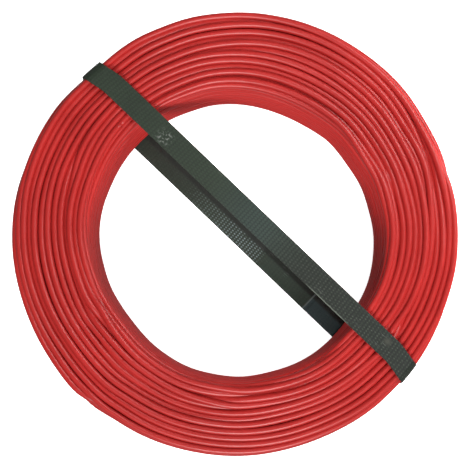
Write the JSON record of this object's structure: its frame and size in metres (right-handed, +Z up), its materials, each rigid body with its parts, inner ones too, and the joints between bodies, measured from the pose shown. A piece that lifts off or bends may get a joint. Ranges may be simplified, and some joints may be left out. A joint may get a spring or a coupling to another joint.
{
  "type": "coil of electrical wire",
  "caption": "Flat round coil of red insulated single-core electrical wire with an open bore, tied across the middle with a welded plastic strap.",
  "frame": {"origin": "on the coil's axis, on the floor that the coil lies on: the bottom centre of its bounding box", "axes": "+Z up along the coil's axis; +X to the right and +Y to the top of the picture, which looks down on the coil; the strap runs 43.7 degrees clockwise of +X"},
  "size_m": [0.1876, 0.1876, 0.0477],
  "materials": {
    "wire_insulation": "satin",
    "strap_plastic": "embossed"
  },
  "bodies": {
    "root": {"wire_coil": "wire_insulation", "strap": "strap_plastic"}
  },
  "joints": []
}
